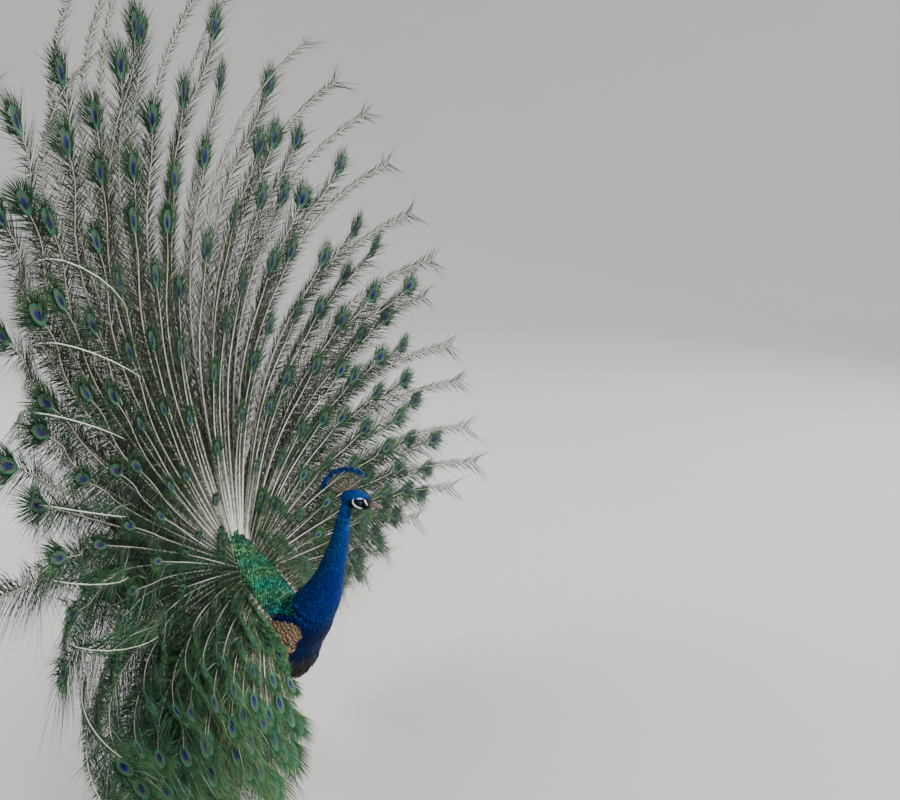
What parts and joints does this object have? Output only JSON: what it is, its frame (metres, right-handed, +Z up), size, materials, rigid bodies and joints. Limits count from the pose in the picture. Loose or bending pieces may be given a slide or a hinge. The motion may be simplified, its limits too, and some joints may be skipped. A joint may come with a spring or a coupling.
{
  "type": "displaying Indian peacock",
  "caption": "Life-size still Indian peacock standing in full display, the raised train spread in a dished fan round and in front of its wings and tail.",
  "frame": {"origin": "centre of the footprint, on the floor under the feet", "axes": "+Z up, the bird faces -Y, +X is its left side, along the width of the spread train"},
  "size_m": [1.9926, 0.6686, 1.9479],
  "materials": {
    "blue_plumage": "glossy cobalt blue feathers",
    "green_scales": "bronze-green scale feathers with dark edges",
    "body_plumage": "dark and buff body feathers",
    "barred_plumage": "buff feathers barred with black",
    "flight_feathers": "chestnut vanes",
    "tail_feathers": "grey-brown vanes",
    "train_feathers": "loose bronze-green barbs with pale shafts and eyespots",
    "horn": "grey-brown horn",
    "eye": "wet dark brown",
    "leg_skin": "grey-brown scaly skin and claws"
  },
  "bodies": {
    "root": {"head": "blue_plumage", "neck_upper": "blue_plumage", "neck_lower": "blue_plumage", "crest": "blue_plumage", "bill_upper": "horn", "bill_lower": "horn", "eye_left": "eye", "eye_right": "eye", "back": "green_scales", "trunk": "body_plumage", "undertail": "body_plumage", "thigh_left": "body_plumage", "thigh_right": "body_plumage", "wing_left": "barred_plumage", "wing_right": "barred_plumage", "primaries_left": "flight_feathers", "primaries_right": "flight_feathers", "tail": "tail_feathers", "shank_left": "leg_skin", "shank_right": "leg_skin", "foot_left": "leg_skin", "foot_right": "leg_skin", "train_left_1": "train_feathers", "train_left_2": "train_feathers", "train_left_3": "train_feathers", "train_left_4": "train_feathers", "train_left_5": "train_feathers", "train_left_6": "train_feathers", "train_left_7": "train_feathers", "train_left_8": "train_feathers", "train_right_1": "train_feathers", "train_right_2": "train_feathers", "train_right_3": "train_feathers", "train_right_4": "train_feathers", "train_right_5": "train_feathers", "train_right_6": "train_feathers", "train_right_7": "train_feathers", "train_right_8": "train_feathers"}
  },
  "joints": []
}
